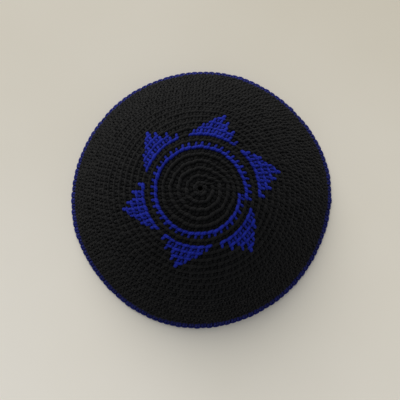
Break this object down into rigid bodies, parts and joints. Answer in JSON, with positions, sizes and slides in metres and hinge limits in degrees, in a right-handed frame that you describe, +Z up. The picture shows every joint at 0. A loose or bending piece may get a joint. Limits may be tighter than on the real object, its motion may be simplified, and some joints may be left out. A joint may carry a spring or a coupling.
{
  "type": "crocheted kippah skullcap",
  "caption": "Shallow round crocheted cap lying dome-up: a ribbed dark dome worked in a spiral, with an inlaid ring, stepped points round it and a contrasting edging on the open rim.",
  "frame": {"origin": "midway between the rim's extremes, on the surface that the rim rests on", "axes": "+Z up through the crown; +Y towards the top of the picture and +X to its right, seen from above"},
  "size_m": [0.172, 0.1704, 0.05],
  "materials": {
    "black_cotton": "matt crocheted cotton yarn with a faint grey sheen",
    "blue_cotton": "matt crocheted cotton yarn, royal blue"
  },
  "bodies": {
    "root": {"crown": "black_cotton", "star_ring": "blue_cotton", "star_point_1": "blue_cotton", "star_point_2": "blue_cotton", "star_point_3": "blue_cotton", "star_point_4": "blue_cotton", "star_point_5": "blue_cotton", "star_point_6": "blue_cotton", "edging": "blue_cotton"}
  },
  "joints": []
}
